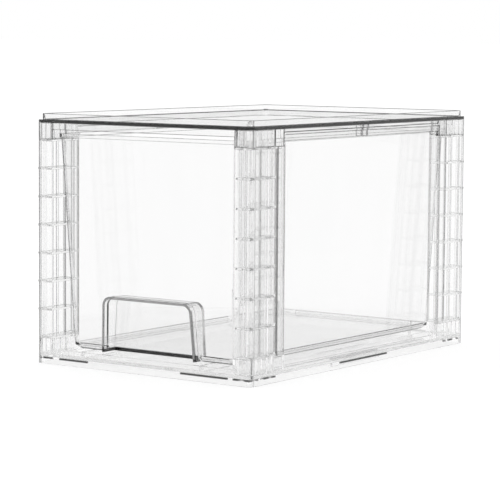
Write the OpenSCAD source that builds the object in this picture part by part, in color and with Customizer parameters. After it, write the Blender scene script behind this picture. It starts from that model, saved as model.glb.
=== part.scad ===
// Clear stackable shoe box: an open snap-together frame with a drawer tray.
// Millimetres. +Z is up, the drawer front faces -Y, the origin is the centre of the underside.

/* [Box] */
// Outer width of the frame
box_w = 216; // [180:1:260]
// Outer depth of the frame, front to back
box_d = 323; // [280:1:380]
// Height from the underside to the upper face, which is the step between stacked boxes
stack_h = 200; // [150:1:260]
// Radius of the four upright corners
corner_r = 5; // [3:0.5:8]
// Wall thickness of the base and top mouldings
wall_t = 2; // [1.5:0.1:3]

/* [Stacking] */
// Height of the raised lip on the top
lip_h = 5; // [3:0.5:8]
// Thickness of the raised lip
lip_t = 2; // [1.2:0.1:3]
// Side play between the lip and the skirt of the box above
lip_play = 0.5; // [0.3:0.1:1.5]
// Play between the lip and the plate of the box above
lip_headroom = 1; // [0.5:0.1:3]

/* [Base] */
// Thickness of the base plate
base_plate_t = 2.5; // [2:0.1:4]
// Height of the front, rear and side rims above the base plate
base_rim_h = 4; // [3:0.5:8]
// Thickness of the base rims
base_rim_t = 2.5; // [1.5:0.1:4]
// Height of the corner sockets above the base plate
base_socket_h = 12.5; // [10:0.5:20]
// Distance of each runner from the middle of the box
runner_x = 60; // [40:1:75]
// Width of a runner
runner_w = 4; // [3:0.5:8]
// Height of the drawer stop above the base plate
stop_h = 7.5; // [5.5:0.5:12]
// Length of the stiffening rib under each side of the base
under_rib_l = 72; // [40:1:120]
// Distance of the stiffening rib from the side of the box
under_rib_in = 10; // [7:0.5:16]

/* [Top] */
// Thickness of the top plate
top_plate_t = 2.5; // [2:0.1:4]
// Height of the front and rear rims, plate included
top_rim_h = 8; // [6:0.5:11]
// Height of the side rails, plate included
side_rail_h = 12; // [9:0.5:15]
// Height of the flush upper band of a side rail
side_band_h = 7; // [5:0.5:8]
// How far the lower band of a side rail is set back
side_band_step = 1; // [0.5:0.1:1.5]
// Height of the corner sockets, plate included
top_socket_h = 16; // [13:0.5:24]
// Gap between the two gussets in the middle of a side rail
gusset_gap = 6; // [4:0.5:20]
// Thickness of a gusset
gusset_t = 1.5; // [1:0.1:3]
// Reach of a gusset under the plate
gusset_l = 8; // [5:0.5:12]

/* [Posts] */
// Width of a post, seen from the front
post_w = 17; // [14:0.5:24]
// Depth of the ribbed column of a post, seen from the side
post_d = 34; // [26:1:44]
// Depth of the flat wing behind the column
wing_d = 11; // [6:0.5:18]
// Thickness of the bead along the edge of the wing
bead_t = 4; // [3:0.5:6]
// Skin thickness of a post
post_t = 2; // [1.5:0.1:3]
// Number of rungs between the two ends
rung_n = 6; // [2:1:9]
// Thickness of a rung
rung_t = 1.5; // [1.2:0.1:3]
// How far the rungs stop short of the open side
rung_setback = 1.5; // [0.5:0.5:4]
// Height of the upright ribs on the inside of the skin
skin_rib_h = 2.5; // [1:0.5:4]
// Play between a post's tenon and its socket
tenon_play = 0.15; // [0.1:0.05:0.4]
// Play between the end of a tenon and the plate
tenon_end_gap = 0.5; // [0.2:0.1:1.5]
// Number of webs across a tenon
tenon_web_n = 3; // [1:1:5]

/* [Drawer] */
// Wall thickness of the tray
tray_t = 2; // [1.5:0.1:3]
// Radius of the upright corners of the tray
tray_corner_r = 6; // [4:0.5:12]
// Play between the tray and the posts on each side
tray_side_play = 1.3; // [0.4:0.1:2]
// Gap between the tray's bottom and the base rims
tray_lift = 0.5; // [0.3:0.1:2]
// Gap between the tray's upper edge and the front rim of the top
tray_headroom = 3; // [1.5:0.5:8]
// Setback of the tray's upper edge behind the front of the frame
tray_front_in = 3.8; // [3:0.1:12]
// Setback of the tray's upper edge from the back of the frame
tray_rear_in = 4; // [3:0.1:12]
// How far each side wall leans in from top to bottom
side_draft = 6.4; // [2:0.1:9]
// How far the front and back walls lean in from top to bottom
end_draft = 10.3; // [4:0.1:14]
// Height of the sloped edge round the bottom
bottom_edge = 3; // [1.5:0.5:5]
// Outward step of the bead round the upper edge
rim_bead_t = 1; // [0.6:0.1:1.5]
// Height of that bead
rim_bead_h = 3; // [2:0.5:6]
// Play between the tray and its stop
stop_play = 0.4; // [0.3:0.1:1]

/* [Pull] */
// Width of the finger recess at half its height
pull_w = 92; // [70:1:120]
// Height of the finger recess
pull_h = 46; // [32:1:60]
// How much wider than at its top the recess is at its bottom
pull_flare = 4.4; // [0:0.1:8]
// Radius of the upper corners of the recess
pull_r = 8; // [4:0.5:15]
// How far the rim of the recess stands in front of the tray wall
pull_proud = 5; // [2:0.5:8]
// Depth of the recess from its rim at the bottom
pull_depth = 14; // [12:0.5:24]

/* [Hidden] */
$fn = 48;
over = 1;
corner_steps = 8;
clear_tint = [0.86, 0.9, 0.93, 0.45];
tray_tint = [0.9, 0.94, 0.97, 0.4];

// Heights of the frame
skirt_h = lip_h + lip_headroom;
base_top_z = skirt_h + base_plate_t;
rim_top_z = base_top_z + base_rim_h;
post_foot_z = base_top_z + base_socket_h;
post_head_z = stack_h - top_socket_h;
plate_under_z = stack_h - top_plate_t;
lip_in = wall_t + lip_play;
wing_end = post_d + wing_d;
tenon_in = wall_t + tenon_play;

// Places of the tray
tray_z0 = rim_top_z + tray_lift;
tray_z1 = stack_h - top_rim_h - tray_headroom;
tray_h = tray_z1 - tray_z0;
tray_top_w = box_w - 2 * (post_w + tray_side_play);
tray_top_d = box_d - tray_front_in - tray_rear_in;
tray_y = (tray_front_in - tray_rear_in) / 2;

// Outer size of the tray at a height, and where its front and back walls stand
function tray_w_at(z) = tray_top_w - 2 * side_draft * (tray_z1 - z) / tray_h;
function tray_d_at(z) = tray_top_d - 2 * end_draft * (tray_z1 - z) / tray_h;
function wall_front_at(z) = tray_y - tray_d_at(z) / 2 + rim_bead_t;
function wall_back_at(z) = tray_y + tray_d_at(z) / 2 - rim_bead_t;
stop_y = wall_back_at(base_top_z + stop_h) + stop_play;

// Places of the finger recess
pull_top_z = tray_z0 + pull_h;
pull_back_y = wall_front_at(tray_z0) - pull_proud + pull_depth;

// Shared outlines

module rounded_rect(w, d, r) {
    square([w - 2 * r, d], center = true);
    square([w, d - 2 * r], center = true);
    for (sx = [-1, 1], sy = [-1, 1])
        translate([sx * (w / 2 - r), sy * (d / 2 - r)])
            circle(r);
}

module rounded_ring(w, d, r, t) {
    difference() {
        rounded_rect(w, d, r);
        rounded_rect(w - 2 * t, d - 2 * t, r - t);
    }
}

// Moves a shape drawn from the origin corner inwards to the corner on sides sx and sy
module at_corner(sx, sy) {
    translate([sx * box_w / 2, sy * box_d / 2, 0])
        mirror([sx > 0 ? 1 : 0, 0, 0])
            mirror([0, sy > 0 ? 1 : 0, 0])
                children();
}

module each_corner() {
    for (sx = [-1, 1], sy = [-1, 1])
        at_corner(sx, sy)
            children();
}

// Rectangle in a corner whose outer corner is round
module corner_block(w, d, r) {
    translate([r, 0])
        square([w - r, d]);
    translate([0, r])
        square([w, d - r]);
    translate([r, r])
        circle(r);
}

// Collar that takes a post's tenon, with a step for the foot of the wing
module socket_outline() {
    difference() {
        corner_block(post_w, post_d, corner_r);
        translate([wall_t, wall_t])
            corner_block(post_w - 2 * wall_t, post_d - 2 * wall_t, corner_r - wall_t);
    }
    translate([0, post_d])
        square([bead_t, wing_d]);
}

// Base

module base_rims() {
    front_run = box_w - 2 * post_w;
    side_run = box_d - 2 * post_d;
    for (sy = [-1, 1])
        translate([-front_run / 2, sy > 0 ? box_d / 2 - base_rim_t : -box_d / 2, 0])
            cube([front_run, base_rim_t, base_rim_h]);
    for (sx = [-1, 1])
        translate([sx > 0 ? box_w / 2 - post_w : post_w - box_w / 2 - base_rim_t, -side_run / 2, 0])
            cube([base_rim_t, side_run, base_rim_h]);
}

module runners() {
    run_front = -box_d / 2 + base_rim_t;
    for (sx = [-1, 1])
        translate([sx * runner_x - runner_w / 2, run_front, 0])
            cube([runner_w, stop_y - run_front, base_rim_h + tray_lift]);
}

module drawer_stop() {
    stop_l = 2 * runner_x + runner_w;
    translate([-stop_l / 2, stop_y, 0])
        cube([stop_l, base_rim_t, stop_h]);
}

module under_ribs() {
    for (sx = [-1, 1])
        translate([sx * (box_w / 2 - under_rib_in) - wall_t / 2, -under_rib_l / 2, lip_headroom])
            cube([wall_t, under_rib_l, skirt_h - lip_headroom]);
}

module base_panel() {
    color(clear_tint) {
        linear_extrude(skirt_h)
            rounded_ring(box_w, box_d, corner_r, wall_t);
        translate([0, 0, skirt_h])
            linear_extrude(base_plate_t)
                rounded_rect(box_w, box_d, corner_r);
        translate([0, 0, base_top_z]) {
            linear_extrude(base_socket_h)
                each_corner()
                    socket_outline();
            base_rims();
            runners();
            drawer_stop();
        }
        under_ribs();
    }
}

// Top

module side_rails() {
    rail_l = box_d - 2 * wing_end;
    lower_h = side_rail_h - side_band_h;
    for (sx = [-1, 1])
        mirror([sx > 0 ? 1 : 0, 0, 0])
            translate([-box_w / 2, -rail_l / 2, 0]) {
                translate([0, 0, stack_h - side_band_h])
                    cube([wall_t, rail_l, side_band_h]);
                translate([side_band_step, 0, stack_h - side_rail_h])
                    cube([wall_t, rail_l, lower_h + wall_t]);
                for (side = [-1, 1])
                    translate([side_band_step, rail_l / 2 + side * (gusset_gap + gusset_t) / 2 - gusset_t / 2,
                               stack_h - side_rail_h])
                        cube([gusset_l, gusset_t, side_rail_h - top_plate_t]);
            }
}

module end_rims() {
    rim_l = box_w - 2 * post_w;
    for (sy = [-1, 1])
        translate([-rim_l / 2, sy > 0 ? box_d / 2 - wall_t : -box_d / 2, stack_h - top_rim_h])
            cube([rim_l, wall_t, top_rim_h]);
}

module stacking_lip() {
    translate([0, 0, stack_h])
        linear_extrude(lip_h)
            rounded_ring(box_w - 2 * lip_in, box_d - 2 * lip_in, corner_r - lip_play, lip_t);
}

module top_panel() {
    color(clear_tint) {
        translate([0, 0, plate_under_z])
            linear_extrude(top_plate_t)
                rounded_rect(box_w, box_d, corner_r);
        translate([0, 0, post_head_z])
            linear_extrude(top_socket_h - top_plate_t)
                each_corner()
                    socket_outline();
        side_rails();
        end_rims();
        stacking_lip();
    }
}

// Posts

// Skin of a post: front, side and back walls round the open column, and the wing
module post_skin() {
    difference() {
        corner_block(post_w, post_d, corner_r);
        translate([post_t, post_t])
            corner_block(post_w, post_d - 2 * post_t, corner_r - post_t);
    }
    translate([0, post_d])
        square([post_t, wing_d]);
    translate([0, wing_end - post_t])
        square([bead_t, post_t]);
    translate([0, (post_d + wing_d) / 2])
        square([post_t + skin_rib_h, post_t]);
    translate([post_w / 2 - post_t, 0])
        square([post_t, post_t + skin_rib_h]);
}

module post_end() {
    corner_block(post_w, post_d, corner_r);
    translate([0, post_d])
        square([bead_t, wing_d]);
}

// Hollow plug that enters a socket
module tenon(length) {
    plug_w = post_w - 2 * tenon_in;
    plug_d = post_d - 2 * tenon_in;
    web_step = plug_d / (tenon_web_n + 1);
    linear_extrude(length)
        translate([tenon_in, tenon_in]) {
            difference() {
                corner_block(plug_w, plug_d, corner_r - wall_t);
                translate([post_t, post_t])
                    square([plug_w - 2 * post_t, plug_d - 2 * post_t]);
            }
            for (i = [1 : tenon_web_n])
                translate([0, i * web_step - post_t / 2])
                    square([plug_w, post_t]);
        }
}

module post() {
    column_h = post_head_z - post_foot_z;
    foot_l = base_socket_h - tenon_end_gap;
    head_l = top_socket_h - top_plate_t - tenon_end_gap;
    rung_step = (column_h - rung_t) / (rung_n + 1);
    color(clear_tint) {
        translate([0, 0, post_foot_z]) {
            linear_extrude(column_h)
                post_skin();
            for (i = [1 : rung_n])
                translate([0, 0, i * rung_step])
                    linear_extrude(rung_t)
                        translate([post_t / 2, post_t / 2])
                            square([post_w - post_t / 2 - rung_setback, post_d - post_t]);
            for (z = [0, column_h - rung_t])
                translate([0, 0, z])
                    linear_extrude(rung_t)
                        post_end();
        }
        translate([0, 0, post_foot_z - foot_l])
            tenon(foot_l);
        translate([0, 0, post_head_z])
            tenon(head_l);
    }
}

module post_front_left() {
    at_corner(-1, -1)
        post();
}

module post_front_right() {
    at_corner(1, -1)
        post();
}

module post_rear_left() {
    at_corner(-1, 1)
        post();
}

module post_rear_right() {
    at_corner(1, 1)
        post();
}

// Drawer

// Rounded rectangle of points at a height, drawn in from the tapering outside of the tray
function tray_ring(z, inset, r) =
    let (hw = tray_w_at(z) / 2 - inset - r, hd = tray_d_at(z) / 2 - inset - r)
    [for (k = [0 : 3], j = [0 : corner_steps])
        let (a = 90 * (k + j / corner_steps), sx = k == 0 || k == 3 ? 1 : -1, sy = k < 2 ? 1 : -1)
        [sx * hw + r * cos(a), tray_y + sy * hd + r * sin(a), z]];

// Tray without its pull: one skin lofted up the outside, over the rim and down the inside
module tray_shell() {
    edge_z = tray_z0 + bottom_edge;
    bead_z = tray_z1 - rim_bead_h;
    inner_in = rim_bead_t + tray_t;
    inner_r = tray_corner_r - tray_t;
    rings = [
        tray_ring(tray_z0, rim_bead_t + bottom_edge, tray_corner_r),
        tray_ring(edge_z, rim_bead_t, tray_corner_r),
        tray_ring(bead_z, rim_bead_t, tray_corner_r),
        tray_ring(bead_z, 0, tray_corner_r),
        tray_ring(tray_z1, 0, tray_corner_r),
        tray_ring(tray_z1, inner_in, inner_r),
        tray_ring(edge_z + tray_t, inner_in, inner_r),
        tray_ring(tray_z0 + tray_t, inner_in + bottom_edge, inner_r)
    ];
    n = len(rings[0]);
    last = len(rings) - 1;
    floor_under = [for (j = [0 : n - 1]) j];
    floor_inside = [for (j = [n - 1 : -1 : 0]) last * n + j];
    walls = [for (i = [0 : last - 1], j = [0 : n - 1])
        let (next = (j + 1) % n)
        [i * n + j, (i + 1) * n + j, (i + 1) * n + next, i * n + next]];
    polyhedron([for (ring = rings) each ring], concat([floor_under, floor_inside], walls));
}

// Half the width of the recess at a height
function pull_half_at(z) = pull_w / 2 + pull_flare / 2 * ((tray_z0 + pull_top_z) / 2 - z) / pull_h;

// Outline of the finger recess, drawn in by an inset: flared sides and round upper corners
module pull_outline(inset, foot_z) {
    r = pull_r - inset;
    cx = pull_half_at(pull_top_z) - inset - r;
    cz = pull_top_z - inset - r;
    foot = pull_half_at(foot_z) - inset;
    upper = [for (side = [1, -1], j = [0 : corner_steps])
        let (a = 90 * (j / corner_steps + (side > 0 ? 0 : 1)))
        [side * cx + r * cos(a), cz + r * sin(a)]];
    polygon(concat([[-foot, foot_z], [foot, foot_z]], upper));
}

// Extrudes an XZ outline from y0 back to y1
module along_y(y0, y1) {
    translate([0, y1, 0])
        rotate([90, 0, 0])
            linear_extrude(y1 - y0)
                children();
}

// Block of the recess, its face parallel to the leaning wall
module pull_block() {
    y_low = wall_front_at(tray_z0) - pull_proud;
    y_high = wall_front_at(pull_top_z) - pull_proud;
    y_back = pull_back_y + tray_t;
    intersection() {
        along_y(y_high - over, y_back)
            pull_outline(0, tray_z0);
        translate([-pull_w, 0, 0])
            rotate([90, 0, 90])
                linear_extrude(2 * pull_w)
                    polygon([[y_low, tray_z0], [y_back, tray_z0],
                             [y_back, pull_top_z], [y_high, pull_top_z]]);
    }
}

module drawer_tray() {
    color(tray_tint)
        difference() {
            union() {
                tray_shell();
                pull_block();
            }
            along_y(-box_d / 2 - over, pull_back_y)
                pull_outline(tray_t, tray_z0 - over);
        }
}

base_panel();
top_panel();
post_front_left();
post_front_right();
post_rear_left();
post_rear_right();
drawer_tray();
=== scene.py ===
import math

import bmesh
import bpy
from mathutils import Matrix, Vector


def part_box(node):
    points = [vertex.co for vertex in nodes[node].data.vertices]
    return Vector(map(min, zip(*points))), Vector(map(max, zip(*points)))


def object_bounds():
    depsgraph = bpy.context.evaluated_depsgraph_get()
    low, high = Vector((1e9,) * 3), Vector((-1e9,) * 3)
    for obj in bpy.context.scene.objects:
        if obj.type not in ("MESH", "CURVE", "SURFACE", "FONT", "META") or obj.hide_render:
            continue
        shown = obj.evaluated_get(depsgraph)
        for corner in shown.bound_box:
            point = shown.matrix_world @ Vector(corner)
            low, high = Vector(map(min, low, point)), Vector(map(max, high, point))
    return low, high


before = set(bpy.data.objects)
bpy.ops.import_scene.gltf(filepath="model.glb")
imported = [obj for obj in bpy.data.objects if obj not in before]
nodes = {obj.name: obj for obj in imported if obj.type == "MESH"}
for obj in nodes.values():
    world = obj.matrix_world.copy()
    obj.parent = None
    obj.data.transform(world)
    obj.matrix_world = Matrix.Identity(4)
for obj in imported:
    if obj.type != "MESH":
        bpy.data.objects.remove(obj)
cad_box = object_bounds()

scene = bpy.context.scene
half_w, half_d = cad_box[1][0], cad_box[1][1]
tray_low, tray_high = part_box("drawer_tray")

# Camera: the photograph's viewing angle
VIEW_AZIMUTH = math.radians(35.48)
VIEW_ELEVATION = math.radians(5.57)
VIEW_ROLL = math.radians(0.41)
VIEW_DISTANCE = 1.922
VIEW_AIM = Vector((-0.0083, 0.0, 0.0871))
LENS_MM = 162.48
SENSOR_MM = 36.0

# Light table: a glowing pale floor just under the box, and the bounces that light needs inside the plastic
FLOOR_HALF = 40.0
FLOOR_DROP = 0.0002
FLOOR_GREY = 0.25
FLOOR_GLOW = 0.82
LIGHT_BOUNCES = 64

# The clear plastic: its optics, the painted shade laid on a rounded corner seen edge on, its roughness
# where it is polished and where it is scuffed, and the waviness of its surface
PLASTIC_IOR = 1.5
ABSORB_GREY = 0.5
EDGE_ON_SHADE = 0.08
POLISHED = 0.015
SCUFFED = 0.09
WAVE_STRENGTH = 0.15
WAVE_DEPTH = 0.0002

# Meshes: seam widths, what counts as flat or as an edge, the gap between touching pieces, and how far,
# in how many steps and in which material slot edges are rounded
SEAM_FINE = 0.000001
SEAM_WIDE = 0.000005
FLAT_ANGLE = math.radians(0.5)
EDGE_ANGLE = math.radians(35.0)
AIR_GAP = 0.00001
EDGE_ROUND = 0.0002
TOP_EDGE_ROUND = 0.0004
POST_EDGE_ROUND = 0.00014
ROUND_STEPS = 2
EDGE_SLOT = 1

# Masks: half the width over which one fades out
SOFT_EDGE = 0.0004

# A Mix node's colour sockets share their names with those of other kinds, so they go by number
MIX_FACTOR, MIX_FIRST, MIX_SECOND, MIX_RESULT = 0, 6, 7, 2

# Tray: its wall, the bead round its upper edge, its corners, how far its ends and sides lean, and the
# least strength of the painted shade on its corners and floor
TRAY_WALL = 0.002
TRAY_BEAD = 0.001
TRAY_CORNER = 0.006
TRAY_END_LEAN = 0.0103
TRAY_SIDE_LEAN = 0.0064
LEAST_SHADE = 0.4
half_wall = 0.5 * TRAY_WALL
tray_h = tray_high[2] - tray_low[2]
tray_mid_y = (tray_low[1] + tray_high[1]) / 2
foot_half_w = tray_high[0] - TRAY_BEAD - TRAY_SIDE_LEAN
foot_half_d = tray_high[1] - tray_mid_y - TRAY_BEAD - TRAY_END_LEAN

# Finger recess: its size and flare, how far its rim stands out, the rim's edge of painted shade, and the
# foot of painted shade
PULL_W = 0.092
PULL_H = 0.046
PULL_FLARE = 0.0044
PULL_DEPTH = 0.014
PULL_PROUD = 0.005
PULL_EDGE = 0.0018
PULL_FOOT_H = 0.003
rim_y = tray_mid_y - foot_half_d - PULL_PROUD
recess_y = rim_y + PULL_DEPTH

# Posts: width, depth of the column and of the whole post, skin, the strip of painted light, the column's
# two ends, and how strong the painted dark seam is on the rear posts and the fainter painted lines on all
# of them
POST_W = 0.017
COLUMN_D = 0.034
POST_D = 0.045
POST_SKIN = 0.002
POST_STRIP = 0.0065
COLUMN_LOW_Z = 0.021
COLUMN_HIGH_Z = 0.184
REAR_SEAM = 0.45
FAINT_LINE = 0.7

# Side rails, where the top carries a painted shade: how far in they reach, and the underside of the plate
# above them
RAIL_W = 0.004
RAIL_TOP_Z = 0.1975

# Painted shadow lines under the plate of the base: their level, and where those at the ends and sides run
SHADOW_LOW_Z = 0.0042
SHADOW_HIGH_Z = 0.0058
SHADOW_LEFT_X = (-0.084, -0.054)
SHADOW_RIGHT_X = (0.040, 0.086)
SHADOW_SIDE_HALF_Y = 0.036

# Rounded upright corners of the frame
FRAME_CORNER = 0.005


def add_camera():
    back = Vector((
        math.sin(VIEW_AZIMUTH) * math.cos(VIEW_ELEVATION),
        -math.cos(VIEW_AZIMUTH) * math.cos(VIEW_ELEVATION),
        math.sin(VIEW_ELEVATION),
    ))
    place = VIEW_AIM + VIEW_DISTANCE * back
    right = Vector((0.0, 0.0, 1.0)).cross(back).normalized()
    up = back.cross(right)
    right_rolled = math.cos(VIEW_ROLL) * right + math.sin(VIEW_ROLL) * up
    up_rolled = -math.sin(VIEW_ROLL) * right + math.cos(VIEW_ROLL) * up
    data = bpy.data.cameras.new("camera")
    data.sensor_width = SENSOR_MM
    data.lens = LENS_MM
    camera = bpy.data.objects.new("camera", data)
    scene.collection.objects.link(camera)
    turn = Matrix((right_rolled, up_rolled, back)).transposed().to_4x4()
    camera.matrix_world = Matrix.Translation(place) @ turn
    scene.camera = camera


def add_world():
    world = bpy.data.worlds.new("studio")
    world.use_nodes = True
    scene.world = world
    background = world.node_tree.nodes["Background"]
    background.inputs["Color"].default_value = grey(1.0)
    background.inputs["Strength"].default_value = 1.0


def add_floor():
    mesh = bpy.data.meshes.new("floor")
    shape = bmesh.new()
    bmesh.ops.create_grid(shape, x_segments=1, y_segments=1, size=FLOOR_HALF)
    shape.to_mesh(mesh)
    shape.free()
    floor = bpy.data.objects.new("floor", mesh)
    floor.location.z = -FLOOR_DROP
    scene.collection.objects.link(floor)
    material, _, shader, _ = new_material("pale floor")
    shader.inputs["Base Color"].default_value = grey(FLOOR_GREY)
    shader.inputs["Roughness"].default_value = 1.0
    shader.inputs["Specular IOR Level"].default_value = 0.0
    shader.inputs["Emission Color"].default_value = grey(1.0)
    shader.inputs["Emission Strength"].default_value = FLOOR_GLOW
    mesh.materials.append(material)


# Node helpers

def grey(level):
    return (level, level, level, 1.0)


def feed(tree, socket, value):
    """Sets a socket to a number or colour, or links it to an output."""
    if isinstance(value, bpy.types.NodeSocket):
        tree.links.new(value, socket)
    else:
        socket.default_value = value


def calc(tree, operation, first, second=0.0):
    node = tree.nodes.new("ShaderNodeMath")
    node.operation = operation
    feed(tree, node.inputs[0], first)
    feed(tree, node.inputs[1], second)
    return node.outputs["Value"]


def product(tree, *values):
    result = values[0]
    for value in values[1:]:
        result = calc(tree, "MULTIPLY", result, value)
    return result


def strongest(tree, *values):
    result = values[0]
    for value in values[1:]:
        result = calc(tree, "MAXIMUM", result, value)
    return result


def ramp(tree, value, start, end, low=0.0, high=1.0):
    """Smooth change from low at start to high at end."""
    node = tree.nodes.new("ShaderNodeMapRange")
    node.interpolation_type = "SMOOTHSTEP"
    feed(tree, node.inputs["Value"], value)
    for name, number in (("From Min", start), ("From Max", end), ("To Min", low), ("To Max", high)):
        node.inputs[name].default_value = number
    return node.outputs["Result"]


def ramp_line(tree, value, start, slope):
    """Straight line: start where the value is nought, rising by slope."""
    return calc(tree, "ADD", calc(tree, "MULTIPLY", value, slope), start)


def above(tree, value, limit):
    return ramp(tree, value, limit - SOFT_EDGE, limit + SOFT_EDGE)


def below(tree, value, limit):
    return ramp(tree, value, limit + SOFT_EDGE, limit - SOFT_EDGE)


def between(tree, value, start, end):
    return product(tree, above(tree, value, start), below(tree, value, end))


def noise(tree, place, scale, detail, stretch=(1.0, 1.0, 1.0)):
    mapping = tree.nodes.new("ShaderNodeMapping")
    mapping.inputs["Scale"].default_value = stretch
    tree.links.new(place, mapping.inputs["Vector"])
    node = tree.nodes.new("ShaderNodeTexNoise")
    node.inputs["Scale"].default_value = scale
    node.inputs["Detail"].default_value = detail
    tree.links.new(mapping.outputs["Vector"], node.inputs["Vector"])
    return node.outputs["Fac"]


def mix(tree, factor, first, second):
    node = tree.nodes.new("ShaderNodeMix")
    node.data_type = "RGBA"
    feed(tree, node.inputs[MIX_FACTOR], factor)
    feed(tree, node.inputs[MIX_FIRST], first)
    feed(tree, node.inputs[MIX_SECOND], second)
    return node.outputs[MIX_RESULT]


def object_place(tree):
    return tree.nodes.new("ShaderNodeTexCoord").outputs["Object"]


def split(tree, place):
    node = tree.nodes.new("ShaderNodeSeparateXYZ")
    tree.links.new(place, node.inputs["Vector"])
    return node.outputs["X"], node.outputs["Y"], node.outputs["Z"]


def new_group(name, *values):
    """Shader node group with the named value outputs."""
    group = bpy.data.node_groups.new(name, "ShaderNodeTree")
    for value in values:
        group.interface.new_socket(value, in_out="OUTPUT", socket_type="NodeSocketFloat")
    return group, group.nodes.new("NodeGroupOutput")


def place_group(tree, group):
    node = tree.nodes.new("ShaderNodeGroup")
    node.node_tree = group
    return node


# Shared effects

def moulded_surface():
    """Flow streaks, slow waves and fine scuffs of a moulded, handled surface."""
    tree, output = new_group("moulded surface", "Streaks", "Waves", "Roughness")
    place = object_place(tree)
    streaks = noise(tree, place, scale=60.0, detail=3.0, stretch=(1.0, 1.0, 0.12))
    waves = noise(tree, place, scale=28.0, detail=2.0)
    scuffs = noise(tree, place, scale=240.0, detail=4.0, stretch=(1.0, 1.0, 0.3))
    roughness = ramp(tree, scuffs, start=0.58, end=0.78, low=POLISHED, high=SCUFFED)
    tree.links.new(ramp(tree, streaks, start=0.3, end=0.7), output.inputs["Streaks"])
    tree.links.new(waves, output.inputs["Waves"])
    tree.links.new(roughness, output.inputs["Roughness"])
    return tree


def tray_shade_masks():
    """Masks of the tray's painted shade: the rim, foot and back of its finger recess, its corners, and its
    floor, whose shade is strongest near the sides.
    """
    tree, output = new_group("tray shade masks", "RimShade", "FootShade", "RecessShade", "Corner", "FloorShade")
    x, y, z = split(tree, object_place(tree))
    rise = calc(tree, "SUBTRACT", z, tray_low[2])
    from_mid_y = calc(tree, "SUBTRACT", y, tray_mid_y)
    half_w_here = ramp_line(tree, rise, foot_half_w, TRAY_SIDE_LEAN / tray_h)
    half_d_here = ramp_line(tree, rise, foot_half_d, TRAY_END_LEAN / tray_h)
    from_side = calc(tree, "SUBTRACT", half_w_here, calc(tree, "ABSOLUTE", x))
    from_end = calc(tree, "SUBTRACT", half_d_here, calc(tree, "ABSOLUTE", from_mid_y))
    from_pull = calc(
        tree, "SUBTRACT", calc(tree, "ABSOLUTE", x),
        ramp_line(tree, rise, PULL_W / 2 + PULL_FLARE / 4, -PULL_FLARE / 2 / PULL_H))
    proud = product(tree, calc(tree, "MULTIPLY", from_end, -1.0), below(tree, y, tray_mid_y))
    outside = strongest(tree, above(tree, from_pull, -half_wall), above(tree, rise, PULL_H - half_wall))
    rim = strongest(
        tree,
        above(tree, proud, PULL_PROUD - SOFT_EDGE),
        product(tree, above(tree, proud, PULL_PROUD - PULL_EDGE), outside))
    recess_wall = product(
        tree,
        between(tree, y, recess_y - SOFT_EDGE, recess_y + TRAY_WALL + SOFT_EDGE),
        below(tree, from_pull, -half_wall),
        below(tree, rise, PULL_H))
    side_wall = product(
        tree,
        between(tree, y, rim_y, recess_y),
        between(tree, from_pull, -TRAY_WALL - SOFT_EDGE, -half_wall))
    foot = product(tree, strongest(tree, recess_wall, side_wall), below(tree, rise, PULL_FOOT_H))
    corner = product(
        tree,
        below(tree, from_side, TRAY_CORNER),
        below(tree, from_end, TRAY_CORNER),
        ramp(tree, rise, 0.0, tray_h, low=LEAST_SHADE))
    floor = product(
        tree,
        below(tree, rise, 2.0 * TRAY_WALL),
        ramp(tree, from_side, 2.0 * TRAY_CORNER, TRAY_CORNER, low=LEAST_SHADE))
    for name, mask in (
            ("RimShade", rim), ("FootShade", foot), ("RecessShade", recess_wall), ("Corner", corner), ("FloorShade", floor)):
        tree.links.new(mask, output.inputs[name])
    return tree


def from_outside(tree, x, y):
    """Distances in from the nearer side and from the nearer end of the frame."""
    inward = calc(tree, "SUBTRACT", half_w, calc(tree, "ABSOLUTE", x))
    back = calc(tree, "SUBTRACT", half_d, calc(tree, "ABSOLUTE", y))
    return inward, back


def frame_corner(tree, inward, back):
    return product(tree, below(tree, inward, FRAME_CORNER), below(tree, back, FRAME_CORNER))


def rail_shade_masks():
    """Masks of the top: the painted shade along its two side rails under the plate, and its rounded
    corners.
    """
    tree, output = new_group("rail shade masks", "RailShade", "Corner")
    x, y, z = split(tree, object_place(tree))
    inward, back = from_outside(tree, x, y)
    rail = product(
        tree, below(tree, inward, RAIL_W), above(tree, back, POST_D), below(tree, z, RAIL_TOP_Z))
    tree.links.new(rail, output.inputs["RailShade"])
    tree.links.new(frame_corner(tree, inward, back), output.inputs["Corner"])
    return tree


def skirt_shadow_masks():
    """Masks of the base: the short lines of painted shadow under its plate, and its rounded corners."""
    tree, output = new_group("skirt shadow masks", "ShadeLines", "Corner")
    place = object_place(tree)
    x, y, z = split(tree, place)
    inward, back = from_outside(tree, x, y)
    ends = strongest(tree, between(tree, x, *SHADOW_LEFT_X), between(tree, x, *SHADOW_RIGHT_X))
    sides = below(tree, calc(tree, "ABSOLUTE", y), SHADOW_SIDE_HALF_Y)
    feet = product(
        tree,
        below(tree, inward, POST_W),
        below(tree, back, COLUMN_D),
        ramp(tree, noise(tree, place, scale=130.0, detail=1.0), start=0.4, end=0.55))
    level = between(tree, z, SHADOW_LOW_Z, SHADOW_HIGH_Z)
    tree.links.new(product(tree, strongest(tree, ends, sides, feet), level), output.inputs["ShadeLines"])
    tree.links.new(frame_corner(tree, inward, back), output.inputs["Corner"])
    return tree


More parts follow.
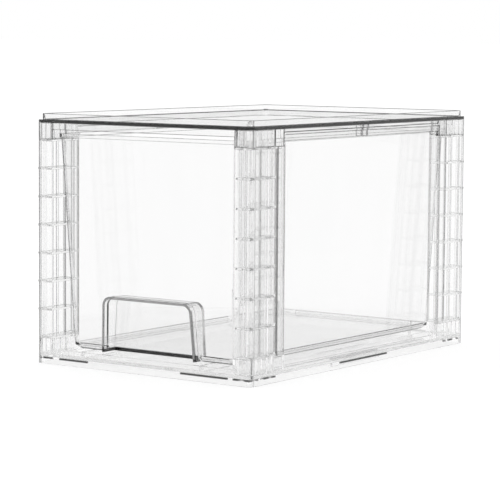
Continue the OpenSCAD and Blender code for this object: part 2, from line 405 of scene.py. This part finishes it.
def post_shade_lines():
    """Masks of a post: its upright lines of painted shade, its strip and tenons of painted light, and its
    rounded corner.
    """
    tree, output = new_group("post shade lines", "ShadeLines", "Clear", "Corner")
    x, y, z = split(tree, object_place(tree))
    inward, back = from_outside(tree, x, y)
    skin = below(tree, inward, POST_SKIN + SOFT_EDGE)
    seam = product(
        tree, skin, between(tree, back, COLUMN_D, COLUMN_D + POST_SKIN),
        ramp(tree, y, -half_d, half_d, low=1.0, high=REAR_SEAM))
    bead = product(tree, skin, between(tree, back, POST_D - POST_SKIN, POST_D), FAINT_LINE)
    open_edge = above(tree, inward, POST_W - POST_SKIN)
    rear_edge = product(
        tree, open_edge, between(tree, back, COLUMN_D - POST_SKIN, COLUMN_D), FAINT_LINE)
    strip = product(tree, above(tree, inward, POST_W - POST_STRIP), below(tree, back, 2.0 * POST_SKIN))
    tenons = strongest(tree, below(tree, z, COLUMN_LOW_Z), above(tree, z, COLUMN_HIGH_Z))
    # Painted shade along the seam, bead and rear edge; painted light on the strip and tenons
    tree.links.new(strongest(tree, seam, bead, rear_edge), output.inputs["ShadeLines"])
    tree.links.new(strongest(tree, strip, tenons), output.inputs["Clear"])
    tree.links.new(frame_corner(tree, inward, back), output.inputs["Corner"])
    return tree


# Finishes

def new_material(name):
    material = bpy.data.materials.new(name)
    material.use_nodes = True
    tree = material.node_tree
    shader = tree.nodes["Principled BSDF"]
    output = tree.nodes["Material Output"]
    return material, tree, shader, output


def clear_plastic(name, tint, absorb, streak, marks=None, tints=None, edge_on_shade=()):
    """Polished clear plastic that goes grey with the depth of plastic looked through.

    The tints give the grey of each mask of the marks, in the order they are laid over each other: the
    darker greys are painted shade, and the paler grey is painted light.
    Each row of the edge-on list lays painted shade on the surface, growing from one facing to another, by
    a strength, inside a mask."""
    material, tree, shader, output = new_material(name)
    surface = place_group(tree, surface_group)
    colour = mix(tree, surface.outputs["Streaks"], grey(tint), grey(tint - streak))
    if marks:
        masks = place_group(tree, marks)
        # Each mask lays its grey over the colour: painted shade, and on the posts' strip and tenons
        # painted light
        for mask, mask_tint in tints.items():
            colour = mix(tree, masks.outputs[mask], colour, grey(mask_tint))
    # Painted shade, growing as the surface turns edge on
    for start, end, strength, mask in edge_on_shade:
        facing = tree.nodes.new("ShaderNodeLayerWeight").outputs["Facing"]
        shade = ramp(tree, facing, start, end, 0.0, strength)
        if mask:
            shade = product(tree, shade, masks.outputs[mask])
        colour = mix(tree, shade, colour, grey(EDGE_ON_SHADE))
    tree.links.new(colour, shader.inputs["Base Color"])
    tree.links.new(surface.outputs["Roughness"], shader.inputs["Roughness"])
    bump = tree.nodes.new("ShaderNodeBump")
    bump.inputs["Strength"].default_value = WAVE_STRENGTH
    bump.inputs["Distance"].default_value = WAVE_DEPTH
    tree.links.new(surface.outputs["Waves"], bump.inputs["Height"])
    tree.links.new(bump.outputs["Normal"], shader.inputs["Normal"])
    shader.inputs["IOR"].default_value = PLASTIC_IOR
    shader.inputs["Transmission Weight"].default_value = 1.0
    depth = tree.nodes.new("ShaderNodeVolumeAbsorption")
    depth.inputs["Color"].default_value = grey(ABSORB_GREY)
    depth.inputs["Density"].default_value = absorb
    tree.links.new(depth.outputs["Volume"], output.inputs["Volume"])
    return material


def finish_node(node, body, edge, edge_round):
    """Gives a moulding its clear plastic and rounds its edges, which take the second slot's finish,
    darkened as painted shade.
    """
    node.data.materials.clear()
    node.data.materials.append(body)
    node.data.materials.append(edge)
    weld = node.modifiers.new("weld", "WELD")
    weld.merge_threshold = SEAM_FINE
    flat = node.modifiers.new("flat faces", "DECIMATE")
    flat.decimate_type = "DISSOLVE"
    flat.angle_limit = FLAT_ANGLE
    gap = node.modifiers.new("air gap", "DISPLACE")
    gap.mid_level = 0.0
    gap.strength = -AIR_GAP
    rounding = node.modifiers.new("rounded edges", "BEVEL")
    rounding.width = edge_round
    rounding.segments = ROUND_STEPS
    rounding.limit_method = "ANGLE"
    rounding.angle_limit = EDGE_ANGLE
    rounding.use_clamp_overlap = False
    rounding.material = EDGE_SLOT
    seams = node.modifiers.new("closed seams", "WELD")
    seams.merge_threshold = SEAM_WIDE


add_camera()
add_world()
add_floor()

surface_group = moulded_surface()

# Each moulding: its absorption and streaks, its masks and their greys of painted shade and light, and
# where painted shade darkens it edge on
frame_edge_shade = [(0.15, 0.5, 0.9, "Corner")]
post_edge_shade = frame_edge_shade + [(0.7, 1.0, 0.52, None)]
tray_edge_shade = [(0.2, 0.5, 0.82, "Corner")]
top = {"absorb": 38.0, "streak": 0.02}
# The rails' grey is a painted shade under the plate
rails = {"marks": rail_shade_masks(), "tints": {"RailShade": 0.86}}
# The base's near-black grey is a painted shadow in lines under its plate
base = {"absorb": 1.5, "streak": 0.01, "marks": skirt_shadow_masks(), "tints": {"ShadeLines": 0.03}}
# The post's near-black grey is painted shade in its upright lines, and its paler grey painted light
post = {"absorb": 6.0, "streak": 0.02, "marks": post_shade_lines(), "tints": {"Clear": 0.999, "ShadeLines": 0.08}}
# The tray's mask greys are painted shade: the dark rim and foot of the finger recess, its greyer back, and
# its floor
tray = {
    "absorb": 9.0, "streak": 0.006, "marks": tray_shade_masks(),
    "tints": {"FloorShade": 0.88, "RecessShade": 0.925, "RimShade": 0.14, "FootShade": 0.02}}

# By the first word of a piece's name: the finish of its faces, that of its edges, greyed as painted shade,
# and their rounding
finishes = {
    "top": (
        clear_plastic("top clear", tint=0.985, edge_on_shade=frame_edge_shade, **top, **rails),
        # The edge finishes' darker greys are painted shade on the rounded edges
        clear_plastic("top edge shade", tint=0.55, **top),
        TOP_EDGE_ROUND),
    "base": (
        clear_plastic("base clear", tint=0.997, edge_on_shade=frame_edge_shade, **base),
        clear_plastic("base edge shade", tint=0.97, **base),
        EDGE_ROUND),
    "post": (
        clear_plastic("post clear", tint=0.958, edge_on_shade=post_edge_shade, **post),
        clear_plastic("post edge shade", tint=0.94, **post),
        POST_EDGE_ROUND),
    "drawer": (
        clear_plastic("tray clear", tint=0.963, edge_on_shade=tray_edge_shade, **tray),
        clear_plastic("tray edge shade", tint=0.93, **tray),
        EDGE_ROUND),
}

for name, node in nodes.items():
    finish_node(node, *finishes[name.split("_")[0]])

scene.view_settings.view_transform = "Standard"
scene.cycles.max_bounces = LIGHT_BOUNCES
scene.cycles.transmission_bounces = LIGHT_BOUNCES
scene.cycles.glossy_bounces = LIGHT_BOUNCES
